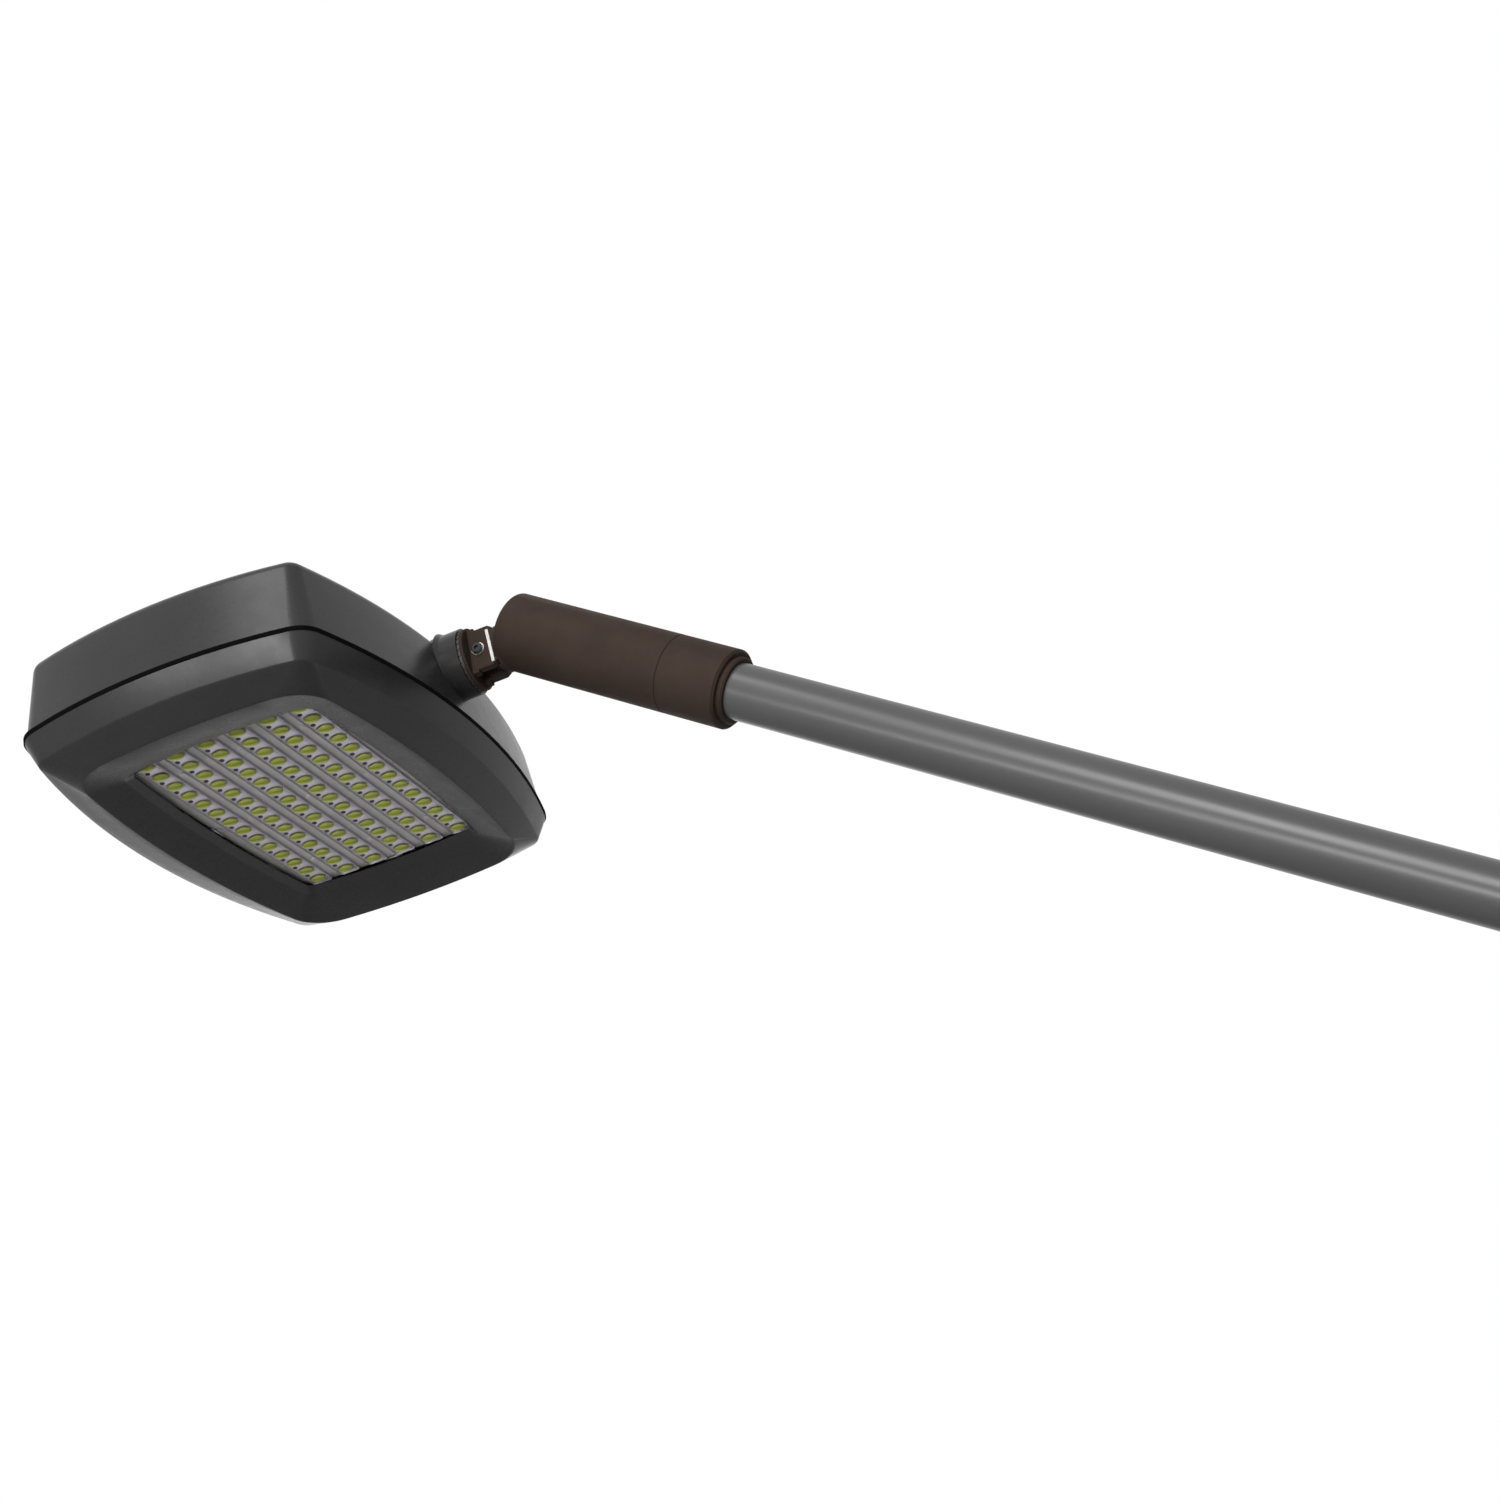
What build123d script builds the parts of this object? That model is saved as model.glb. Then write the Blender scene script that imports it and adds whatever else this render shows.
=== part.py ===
from build123d import *
from math import radians, sin
import os

# LED floodlight on a wall arm. Row frame: origin at the middle of the wall face, +X along the arm
# away from the wall, +Z up. All sizes are in millimetres.

os.makedirs("parts", exist_ok=True)

# Clearances
moving_gap = 0.3
seat_gap = 0.1
pivot_gap = 0.08

# Wall plate and its gasket
wall_gasket_thickness = 2.0
plate_width = 130.0
plate_thickness = 8.0
plate_corner = 14.0
plate_hole_spacing = 100.0
plate_hole_radius = 4.5
cable_hole_radius = 12.0
hub_length = 42.0
hub_wall = 8.0
hub_screw_from_plate = 24.0
hub_screw_radius = 4.0

# Arm pipe
pipe_radius = 24.15
pipe_wall = 3.7
pipe_length = 760.0
pipe_overlap = 67.5

# Slipfitter sleeve on the end of the arm
sleeve_radius = 34.0
sleeve_length = 223.5
collar_length = 57.0
collar_seam = 0.8
sleeve_end_chamfer = 2.0
sleeve_end_rounding = 1.2
bushing_wall = 4.0
bushing_stick_out = 5.0
sleeve_cap = 6.0
wire_bore_radius = 12.0
sleeve_screw_radius = 4.0
sleeve_screw_spacing = 24.0
sleeve_screw_head = 3.0
sleeve_screw_turns = (30, 100)
hex_key = 4.0

# Knuckle: the tilt axis runs along Y through the hinge point
hinge_past_sleeve = 18.0
hinge_drop = 28.6
tilt = 36.0
tongue_half = 7.0
tongue_radius = 8.1
cheek_thickness = 7.3
cheek_half_height = 19.5
cheek_round = 22.5
cheek_root_height = 22.0
cheek_root_at = 2.4
clevis_base_radius = 28.5
clevis_base_thickness = 2.8
clevis_base_at = 8.4
strip_width = 2.7
strip_thickness = 0.8
strip_length = 33.0
strip_x = -11.4
strip_z = -0.8
strip_lean = 3.5
stub_radius = 21.5
stub_from = 16.5
web_top_from = 6.5
web_top_height = 19.5
web_bottom_from = 13.5
web_bottom_height = 18.3
pivot_radius = 4.0
pivot_head_radius = 5.0
pivot_head_height = 3.2
pivot_socket = 4.0
pivot_socket_depth = 2.0
pivot_nut_width = 13.0
pivot_nut_height = 6.5
pivot_past_nut = 1.5
washer_thickness = 1.0
washer_radius = 6.0
tooth_washer_teeth = 30
tooth_notch_width = 1.6
tooth_notch_depth = 0.6
stem_radius = 10.4
stem_bore_radius = 7.5
stem_past_nut = 4.0
locknut_width = 26.0
locknut_thickness = 6.0

# Head: sizes are half sizes from the middle of the LED window; X runs away from the arm
hinge_past_rim = 19.9
axis_above_leds = 74.0
rim_border_x = 74.1
rim_border_y = 87.7
rim_bow_x = 754.0
rim_bow_y = 476.0
rim_corner = 26.0
rim_shift = 4.2
parting_above_leds = 21.5
gasket_thickness = 4.0
gasket_proud = 0.8
seal_band = 10.0

# Rear housing
housing_depth = 72.8
housing_set_in = 2.0
housing_draft = 7.2
housing_wall = 3.5
roof_thickness = 4.0
rear_rounding = 12.0
rim_band_height = 5.0
fin_bay_border_x = 66.0
fin_bay_border_y = 68.0
fin_bay_corner = 18.0
fin_bay_depth = 10.0
fin_thickness = 3.0
fin_pitch = 12.0
fin_below_rear = 1.0
neck_radius = 30.3
neck_face = 13.8
neck_flare_radius = 33.0
neck_flare_from = 30.5
neck_flare_to = 34.5
neck_fade_from = 40.8
neck_fade_to = 62.8
neck_fade_radius = 15.0
inner_neck_radius = 20.0
inner_neck_face = 45.8

# Front frame: the flange tapers to its front edge, a chamfer climbs to the ridge, a slope falls
# to the window
flange_set_in = 10.0
flange_front_below_leds = 4.0
ridge_border_x = 39.0
ridge_border_y = 36.3
ridge_bow_x = 1128.0
ridge_bow_y = 634.0
ridge_corner = 42.0
ridge_below_leds = 18.6
ridge_rounding = 2.0
flange_rounding = 3.0
window_half_x = 91.9
window_half_y = 148.3
window_bow_x = 1431.0
window_bow_y = 497.0
window_corner = 7.0
window_below_leds = 2.5
window_lip = 1.0
ledge_out_x = 5.3
ledge_out_y = 10.1
ledge_below_leds = 8.6
ledge_corner = 12.0
ledge_rounding = 1.2
frame_wall = 3.0

# Glass, its seal and clips
lens_seal_thickness = 0.5
lens_seal_width = 7.0
glass_overlap = 9.0
glass_thickness = 3.2
glass_side_gap = 0.6
clip_width = 18.0
clip_thickness = 1.5
clip_reach = 8.0
clip_screw_radius = 2.0
clip_screw_bite = 7.0
clip_screw_head_height = 2.0
clip_boss_radius = 5.0
clip_boss_out = 19.0

# LED board: six columns of fourteen
led_columns = 6
led_rows = 14
led_row_pitch = 21.2
led_column_pitch = 29.4
led_size = 5.0
led_height = 0.8
board_half_x = 95.0
board_half_y = 151.0
board_thickness = 1.6
board_below_glass = 2.9
optic_width = 20.0
optic_end = 4.0
optic_height = 1.8
optic_floor = 0.6
optic_dish_radius = 8.6
optic_dish_floor_radius = 7.4
optic_dome_radius = 6.8
optic_dome_height = 2.0
optic_pocket_radius = 4.2
optic_pocket_height = 1.3
spreader_thickness = 4.0
spreader_border = 3.0
board_screw_radius = 1.5
board_screw_head = 3.0
spreader_screw_radius = 2.5
spreader_screw_head = 4.2
spreader_screw_head_height = 2.0

# Posts inside the housing
post_radius = 6.0
post_hole_radius = 1.9
post_screw_radius = 1.85
post_hole_depth = 14.0
post_border = 9.0
frame_screw_radius = 2.5
frame_screw_head_radius = 4.6
frame_screw_head_height = 4.0
frame_screw_counterbore = 6.0
frame_screw_socket_depth = 2.5
frame_post_radius = 7.5
frame_screw_corner_border_x = 57.0
frame_screw_corner_border_y = 46.0
frame_screw_side_border = 32.0
frame_screw_bite = 9.0

# Driver and what is wired with it
driver_length = 228.0
driver_width = 68.0
driver_height = 38.0
driver_corner = 4.0
driver_offset_x = 22.0
tray_thickness = 2.0
tray_margin = 14.0
tray_post_height = 6.0
tray_hole_radius = 2.2
surge_length = 58.0
surge_width = 40.0
surge_height = 28.0
terminal_length = 62.0
terminal_width = 22.0
terminal_height = 18.0
terminal_ways = 5
vent_radius = 9.0
vent_height = 3.0
vent_thread_radius = 6.0
vent_border_x = 44.0
vent_y = 120.0

# Derived places along the arm
plate_face = wall_gasket_thickness + plate_thickness
pipe_end = plate_face + pipe_length
sleeve_start = pipe_end - pipe_overlap
collar_end = sleeve_start + collar_length
sleeve_end = sleeve_start + sleeve_length
bushing_inner = pipe_radius + moving_gap
bushing_outer = bushing_inner + bushing_wall
sleeve_bore = bushing_outer + seat_gap
hinge_x = sleeve_end + hinge_past_sleeve
hinge_z = -hinge_drop

# Derived heights in the head's own frame, whose origin is the hinge point
led_z = -axis_above_leds
housing_bottom = led_z + parting_above_leds
housing_top = housing_bottom + housing_depth
frame_top = housing_bottom - gasket_thickness
flange_front = led_z - flange_front_below_leds
ridge_z = led_z - ridge_below_leds
window_z = led_z - window_below_leds
ledge_z = led_z - ledge_below_leds
lip_back = window_z + window_lip
glass_front = lip_back + lens_seal_thickness
glass_back = glass_front + glass_thickness
board_face = glass_back + board_below_glass
board_back = board_face + board_thickness
spreader_back = board_back + spreader_thickness
bay_floor = housing_top - fin_bay_depth
bay_underside = bay_floor - roof_thickness
cavity_top = housing_top - roof_thickness
rim_half_x = window_half_x + rim_border_x
rim_half_y = window_half_y + rim_border_y
hinge_to_window = rim_half_x + hinge_past_rim
ridge_half_x = rim_half_x - ridge_border_x
ridge_half_y = rim_half_y - ridge_border_y
fin_bay_half_x = rim_half_x - fin_bay_border_x
fin_bay_half_y = rim_half_y - fin_bay_border_y
frame_screw_corner_x = rim_half_x - frame_screw_corner_border_x
frame_screw_corner_y = rim_half_y - frame_screw_corner_border_y
frame_screw_side_x = rim_half_x - frame_screw_side_border
frame_screw_side_y = rim_half_y - frame_screw_side_border
vent_x = rim_half_x - vent_border_x
middle = Pos(hinge_to_window, 0, 0)
stub_reach = hinge_drop / sin(radians(tilt))
cheek_outside = tongue_half + moving_gap + cheek_thickness
cheek_sweep = cheek_round + moving_gap
clevis_base_back = clevis_base_at + clevis_base_thickness
stem_end = inner_neck_face + locknut_thickness + stem_past_nut
pivot_seat = cheek_outside + washer_thickness
head_place = Pos(hinge_x, 0, hinge_z) * Rot(0, tilt, 0)


def x_rod(radius, start, end):
    """Round bar along X between two stations."""
    return Pos((start + end) / 2, 0, 0) * Rot(0, 90, 0) * Cylinder(radius, end - start)


def y_rod(radius, start, end):
    """Round bar along Y between two stations."""
    return Pos(0, (start + end) / 2, 0) * Rot(90, 0, 0) * Cylinder(radius, end - start)


def z_rod(radius, start, end):
    """Round bar along Z between two heights."""
    return Pos(0, 0, (start + end) / 2) * Cylinder(radius, end - start)


def x_cone(start_radius, end_radius, start, end):
    """Taper along X from one radius to another."""
    return Pos((start + end) / 2, 0, 0) * Rot(0, 90, 0) * Cone(start_radius, end_radius, end - start)


def bowed_outline(half_x, half_y, bow_x, bow_y, corner):
    """Closed outline of four shallow arcs with rounded corners."""
    outline = Pos(half_x - bow_x, 0) * Circle(bow_x)
    outline = outline & (Pos(bow_x - half_x, 0) * Circle(bow_x))
    outline = outline & (Pos(0, half_y - bow_y) * Circle(bow_y))
    outline = outline & (Pos(0, bow_y - half_y) * Circle(bow_y))
    return fillet(outline.vertices(), corner)


def rim_outline(inset):
    """The head's outline at the parting line, set in all round. The shell sits a little off the window."""
    outline = bowed_outline(
        rim_half_x - inset, rim_half_y - inset, rim_bow_x - inset, rim_bow_y - inset, rim_corner - inset
    )
    return Pos(rim_shift, 0) * outline


def ridge_outline(inset):
    """The frame's front ridge, set in all round."""
    return bowed_outline(
        ridge_half_x - inset,
        ridge_half_y - inset,
        ridge_bow_x - inset,
        ridge_bow_y - inset,
        ridge_corner - inset,
    )


def ledge_outline():
    """The edge between the recess's shallow slope and the steeper one round the window."""
    return bowed_outline(
        window_half_x + ledge_out_x,
        window_half_y + ledge_out_y,
        window_bow_x + ledge_out_x,
        window_bow_y + ledge_out_y,
        ledge_corner,
    )


def window_outline(outset):
    """The window's edge, set out all round."""
    return bowed_outline(
        window_half_x + outset,
        window_half_y + outset,
        window_bow_x + outset,
        window_bow_y + outset,
        window_corner + outset,
    )


def between(lower, lower_z, upper, upper_z):
    """Straight-sided body between two outlines at two heights."""
    return loft([Pos(0, 0, lower_z) * lower.face(), Pos(0, 0, upper_z) * upper.face()], ruled=True)


def slab(outline, start, end):
    """Outline extruded between two heights."""
    return extrude(Pos(0, 0, start) * outline, end - start)


def hex_bar(width, start, end):
    """Hexagonal bar along Z, its width measured across the flats."""
    return slab(RegularPolygon(width / 2, 6, major_radius=False), start, end)


def mirrored_places(x, y):
    """The four places mirrored about both middle lines."""
    return [(x, y), (-x, y), (x, -y), (-x, -y)]


def as_group(solids):
    """Several separate solids in one node."""
    return Compound(children=list(solids))


frame_screw_places = mirrored_places(frame_screw_corner_x, frame_screw_corner_y) + [
    (0, frame_screw_side_y),
    (0, -frame_screw_side_y),
    (frame_screw_side_x, 0),
]
spreader_half_x = board_half_x + spreader_border
spreader_half_y = board_half_y + spreader_border
spreader_post_places = mirrored_places(spreader_half_x - post_border, spreader_half_y - post_border) + [
    (spreader_half_x - post_border, 0),
    (post_border - spreader_half_x, 0),
]
led_places = [
    (
        (column - (led_columns - 1) / 2) * led_column_pitch,
        (row - (led_rows - 1) / 2) * led_row_pitch,
    )
    for column in range(led_columns)
    for row in range(led_rows)
]
column_places = [(column - (led_columns - 1) / 2) * led_column_pitch for column in range(led_columns)]
clip_places = [
    (side * (window_half_x + clip_boss_out), along, 0 if side > 0 else 180)
    for side in (1, -1)
    for along in (-window_half_y * 0.62, 0, window_half_y * 0.62)
] + [
    (0, side * (window_half_y + clip_boss_out), 90 * side)
    for side in (1, -1)
]


# Wall plate

def plate_outline():
    return RectangleRounded(plate_width, plate_width, plate_corner)


def plate_holes(start, end):
    """The four wall bolts' holes through the plate and its gasket."""
    half = plate_hole_spacing / 2
    return [
        Pos(0, y, z) * x_rod(plate_hole_radius, start, end)
        for y in (-half, half)
        for z in (-half, half)
    ]


def make_wall_gasket():
    sheet = Rot(0, 90, 0) * extrude(plate_outline(), wall_gasket_thickness)
    sheet = sheet - plate_holes(-1, wall_gasket_thickness + 1)
    return sheet - x_rod(cable_hole_radius, -1, wall_gasket_thickness + 1)


def make_wall_plate():
    plate = Pos(wall_gasket_thickness, 0, 0) * Rot(0, 90, 0) * extrude(plate_outline(), plate_thickness)
    plate = chamfer(plate.edges().group_by(Axis.X)[-1], 1.5)
    plate = plate - plate_holes(wall_gasket_thickness - 1, plate_face + 1)
    return plate - x_rod(cable_hole_radius, wall_gasket_thickness - 1, plate_face + 1)


def hub_screw_places():
    """Two set screws under the hub, a quarter turn apart."""
    along = plate_face + hub_screw_from_plate
    return [Pos(along, 0, 0) * Rot(turn, 0, 0) for turn in (135, 225)]


def make_pipe_hub():
    """Collar welded on the plate, which takes the arm."""
    hub = x_rod(pipe_radius + seat_gap + hub_wall, plate_face, plate_face + hub_length)
    hub = chamfer(hub.edges().group_by(Axis.X)[-1], 2)
    hub = hub - x_rod(pipe_radius + seat_gap, plate_face - 1, plate_face + hub_length + 1)
    for place in hub_screw_places():
        hub = hub - place * z_rod(hub_screw_radius, pipe_radius, pipe_radius + hub_wall + 2)
    return hub


def socket_screw(radius, start, end, key):
    """Grub screw along Z with a hexagon socket in its outer end."""
    return z_rod(radius, start, end) - hex_bar(key, end - 3, end + 1)


def make_hub_screws():
    tip = pipe_radius + seat_gap / 2
    outer = pipe_radius + hub_wall + 1
    radius = hub_screw_radius - seat_gap / 2
    return as_group(place * socket_screw(radius, tip, outer, hex_key) for place in hub_screw_places())


# Arm and slipfitter

def make_arm_pipe():
    pipe = x_rod(pipe_radius, plate_face, pipe_end)
    return pipe - x_rod(pipe_radius - pipe_wall, plate_face - 1, pipe_end + 1)


def sleeve_screw_places():
    """Two rows of set screws on the collar's far side."""
    middle_x = (sleeve_start + collar_end) / 2
    places = []
    for turn in sleeve_screw_turns:
        for along in (-sleeve_screw_spacing / 2, sleeve_screw_spacing / 2):
            places.append(Pos(middle_x + along, 0, 0) * Rot(turn, 0, 0))
    return places


def make_slipfitter_collar():
    ring = x_rod(sleeve_radius, sleeve_start, collar_end)
    ring = chamfer(ring.edges().group_by(Axis.X)[0], sleeve_end_chamfer)
    ring = chamfer(ring.edges().group_by(Axis.X)[-1], collar_seam)
    ring = ring - x_rod(sleeve_bore, sleeve_start - 1, collar_end + 1)
    for place in sleeve_screw_places():
        ring = ring - place * z_rod(sleeve_screw_radius, bushing_inner, sleeve_radius + 1)
    return ring


def make_reducer_bushing():
    start = sleeve_start - bushing_stick_out
    ring = x_rod(bushing_outer, start, pipe_end)
    ring = chamfer(ring.edges().group_by(Axis.X)[0], bushing_wall / 3)
    ring = ring - x_rod(bushing_inner, start - 1, pipe_end + 1)
    for place in sleeve_screw_places():
        ring = ring - place * z_rod(sleeve_screw_radius, pipe_radius, bushing_outer + 1)
    return ring


def make_sleeve_screws():
    tip = pipe_radius + moving_gap
    outer = sleeve_radius + sleeve_screw_head
    radius = sleeve_screw_radius - seat_gap
    return as_group(place * socket_screw(radius, tip, outer, hex_key) for place in sleeve_screw_places())


def make_slipfitter_body():
    """Sleeve, elbow stub and knuckle tongue in one casting."""
    body = x_rod(sleeve_radius, collar_end, sleeve_end)
    body = chamfer(body.edges().group_by(Axis.X)[0], collar_seam)
    body = fillet(body.edges().group_by(Axis.X)[-1], sleeve_end_rounding)
    stub = x_rod(stub_radius, -stub_reach, -stub_from)
    outline = Polyline(
        (0, -tongue_radius),
        (-web_bottom_from, -web_bottom_height),
        (-stub_from, -stub_radius),
        (-stub_from - stub_radius, 0),
        (-stub_from, stub_radius),
        (-web_top_from, web_top_height),
        (0, tongue_radius),
        close=True,
    )
    web = extrude(make_face(Plane.XZ * outline), tongue_half, both=True)
    web = web & x_rod(stub_radius, -stub_reach, 0)
    tongue = y_rod(tongue_radius, -tongue_half, tongue_half)
    body = body + head_place * stub
    sweep_end = cheek_outside + strip_thickness + moving_gap
    for side in (-1, 1):
        nearest, farthest = sorted((side * tongue_half, side * sweep_end))
        body = body - head_place * y_rod(cheek_sweep, nearest, farthest)
    body = body + head_place * (web + tongue)
    body = body - head_place * y_rod(pivot_radius + pivot_gap, -tongue_half - 1, tongue_half + 1)
    body = body - x_rod(sleeve_bore, collar_end - 1, pipe_end + seat_gap)
    body = body - x_rod(pipe_radius - pipe_wall, pipe_end, sleeve_end - sleeve_cap)
    return body - head_place * x_rod(wire_bore_radius, -stub_reach, -stub_from - tongue_radius)


# Knuckle

def cheek(side):
    """One cheek of the clevis, rounded about the tilt axis and a little taller at its root."""
    nearest, farthest = sorted((side * (tongue_half + moving_gap), side * cheek_outside))
    between_faces = Pos(0, (nearest + farthest) / 2, 0)
    plate = between_faces * Box(2 * cheek_round, cheek_thickness, 2 * cheek_half_height)
    plate = plate & y_rod(cheek_round, nearest, farthest)
    root_length = clevis_base_at - cheek_root_at
    root = Box(root_length, cheek_thickness, 2 * cheek_root_height)
    root = between_faces * Pos(cheek_root_at + root_length / 2, 0, 0) * root
    slot_past_base = Box(cheek_round, 2 * cheek_outside, 2 * cheek_round)
    return plate - Pos(clevis_base_at + cheek_round / 2, 0, 0) * slot_past_base + root


def make_knuckle_clevis():
    """Fixture half of the knuckle: a round base with a hollow threaded stem and two cheeks."""
    clevis = x_rod(clevis_base_radius, clevis_base_at, clevis_base_back)
    clevis = chamfer(clevis.edges().group_by(Axis.X)[-1], 0.6)
    clevis = clevis + cheek(1) + cheek(-1)
    clevis = clevis + x_rod(stem_radius, clevis_base_back, stem_end)
    clevis = clevis - x_rod(stem_bore_radius, clevis_base_at - 1, stem_end + 1)
    return clevis - y_rod(pivot_radius + pivot_gap, -cheek_outside - 1, cheek_outside + 1)


def make_aiming_strip():
    """Bright steel strip on the near cheek, read against the arm half when aiming."""
    strip = Box(strip_width, strip_thickness, strip_length)
    return Pos(strip_x, cheek_outside + strip_thickness / 2, strip_z) * Rot(0, strip_lean, 0) * strip


def make_pivot_bolt():
    tail = -(pivot_seat + pivot_nut_height + pivot_past_nut)
    head = y_rod(pivot_head_radius, pivot_seat, pivot_seat + pivot_head_height)
    head = chamfer(head.edges().group_by(Axis.Y)[-1], 0.8)
    bolt = head + y_rod(pivot_radius, tail, pivot_seat)
    socket = Rot(-90, 0, 0) * hex_bar(pivot_socket, 0, pivot_socket_depth + 1)
    return bolt - Pos(0, pivot_seat + pivot_head_height - pivot_socket_depth, 0) * socket


def make_pivot_washers():
    """One under the bolt's head and one under the nut."""
    rings = []
    for side in (-1, 1):
        nearest, farthest = sorted((side * cheek_outside, side * pivot_seat))
        ring = y_rod(washer_radius, nearest, farthest)
        rings.append(ring - y_rod(pivot_radius + pivot_gap, nearest - 1, farthest + 1))
    return as_group(rings)


def make_pivot_nut():
    nut = Pos(0, -pivot_seat, 0) * Rot(90, 0, 0) * hex_bar(pivot_nut_width, 0, pivot_nut_height)
    return nut - y_rod(pivot_radius + pivot_gap, -pivot_seat - pivot_nut_height - 1, -pivot_seat + 1)


def make_tooth_washer():
    """Spring steel washer with raised teeth between the clevis and the housing's neck."""
    ring = x_rod(clevis_base_radius, clevis_base_back, neck_face - moving_gap)
    ring = ring - x_rod(stem_radius + seat_gap, clevis_base_back - 1, neck_face + 1)
    washer_room = neck_face - clevis_base_back
    notch = Box(washer_room, tooth_notch_width, 2 * tooth_notch_depth)
    notch = Pos(clevis_base_back + washer_room / 2, 0, clevis_base_radius) * notch
    for tooth in range(tooth_washer_teeth):
        ring = ring - Rot(360 / tooth_washer_teeth * tooth, 0, 0) * notch
    return ring


def make_stem_locknut():
    start = inner_neck_face + moving_gap
    nut = Pos(start, 0, 0) * Rot(0, 90, 0) * hex_bar(locknut_width, 0, locknut_thickness)
    return nut - x_rod(stem_radius + pivot_gap, start - 1, start + locknut_thickness + 1)


# Rear housing

def fin_places():
    """Fins fill the bay across the short way, evenly about the middle."""
    count = int((2 * fin_bay_half_y - fin_pitch) / fin_pitch)
    return [(fin - (count - 1) / 2) * fin_pitch for fin in range(count)]


def housing_outside():
    base = Pos(0, 0, housing_bottom) * rim_outline(housing_set_in)
    outer = extrude(base, housing_depth, taper=housing_draft)
    outer = fillet(outer.edges().group_by(Axis.Z)[-1], rear_rounding)
    bay = RectangleRounded(2 * fin_bay_half_x, 2 * fin_bay_half_y, fin_bay_corner)
    return outer - slab(bay, bay_floor, housing_top + 1)


def housing_cavity():
    """Everything hollow behind the gasket: inside the walls, under the roof, round the fin bay."""
    inner_outline = rim_outline(housing_set_in + housing_wall)
    inner_depth = housing_depth - roof_thickness
    cavity = extrude(Pos(0, 0, housing_bottom) * inner_outline, inner_depth, taper=housing_draft)
    cavity = fillet(cavity.edges().group_by(Axis.Z)[-1], rear_rounding - housing_wall)
    bay_walls = RectangleRounded(
        2 * (fin_bay_half_x + housing_wall),
        2 * (fin_bay_half_y + housing_wall),
        fin_bay_corner + housing_wall,
    )
    cavity = cavity - slab(bay_walls, bay_underside, housing_top)
    seal_land = slab(rim_outline(0), housing_bottom, housing_bottom + rim_band_height)
    seal_land = seal_land - slab(rim_outline(seal_band), housing_bottom, housing_bottom + rim_band_height)
    return cavity - seal_land


def fins():
    top = housing_top - fin_below_rear
    height = top - bay_floor
    width = 2 * fin_bay_half_x - 2
    return [
        Pos(0, y, bay_floor + height / 2 - 0.5) * Box(width, fin_thickness, height + 1)
        for y in fin_places()
    ]


def post_top(x, y):
    """A post ends inside the roof, which is lower under the fin bay."""
    inside = abs(x) < fin_bay_half_x and abs(y) < fin_bay_half_y
    return bay_underside + roof_thickness / 2 if inside else cavity_top + roof_thickness / 2


def make_rear_housing():
    outer = middle * housing_outside()
    outer = outer + x_rod(neck_radius, neck_face, neck_fade_from)
    outer = outer + x_cone(neck_radius, neck_flare_radius, neck_flare_from, neck_flare_to)
    outer = outer + x_cone(neck_radius, neck_fade_radius, neck_fade_from, neck_fade_to)
    body = outer - middle * housing_cavity()
    body = body + [middle * fin for fin in fins()]
    body = body + x_rod(inner_neck_radius, neck_flare_to, inner_neck_face)
    body = body - x_rod(stem_radius + moving_gap, neck_face - 1, inner_neck_face + 1)
    for x, y in spreader_post_places:
        post = z_rod(post_radius, spreader_back, post_top(x, y))
        post = post - z_rod(post_hole_radius, spreader_back - 1, spreader_back + post_hole_depth)
        body = body + middle * Pos(x, y, 0) * post
    for x, y in frame_screw_places:
        post = z_rod(frame_post_radius, housing_bottom, cavity_top + 1)
        body = body + middle * Pos(x, y, 0) * post
    for x, y in frame_screw_places:
        place = middle * Pos(x, y, 0)
        body = body - place * z_rod(frame_screw_radius + seat_gap, housing_bottom - 1, housing_top + 1)
        seat = housing_top - frame_screw_counterbore
        body = body - place * z_rod(frame_screw_head_radius + seat_gap, seat, housing_top + 1)
    for x, y in tray_post_places():
        post = z_rod(post_radius - 1, bay_underside - tray_post_height, bay_underside + 1)
        post = post - z_rod(post_hole_radius, bay_underside - tray_post_height - 1, bay_underside)
        body = body + middle * Pos(x, y, 0) * post
    vent_hole = z_rod(vent_thread_radius + seat_gap, cavity_top - 1, housing_top + 1)
    return body - middle * Pos(vent_x, vent_y, 0) * vent_hole


def make_housing_gasket():
    ring = slab(rim_outline(-gasket_proud), frame_top, housing_bottom)
    return middle * (ring - slab(rim_outline(seal_band), frame_top - 1, housing_bottom + 1))


def frame_screw(x, y):
    """Long socket screw from the rear face into the front frame."""
    seat = housing_top - frame_screw_counterbore
    tip = frame_top - frame_screw_bite
    head = z_rod(frame_screw_head_radius, seat, seat + frame_screw_head_height)
    screw = head + z_rod(frame_screw_radius, tip, seat)
    head_end = seat + frame_screw_head_height
    screw = screw - hex_bar(hex_key, head_end - frame_screw_socket_depth, head_end + 1)
    return middle * Pos(x, y, 0) * screw


def make_frame_screws():
    return as_group(frame_screw(x, y) for x, y in frame_screw_places)


def make_breather_vent():
    cap = z_rod(vent_radius, housing_top, housing_top + vent_height)
    cap = chamfer(cap.edges().group_by(Axis.Z)[-1], 0.8)
    vent = cap + z_rod(vent_thread_radius, cavity_top - 4, housing_top)
    vent = vent - z_rod(vent_thread_radius - 2.5, cavity_top - 5, housing_top - 1)
    return middle * Pos(vent_x, vent_y, 0) * vent


# Front frame, glass and clips

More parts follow.
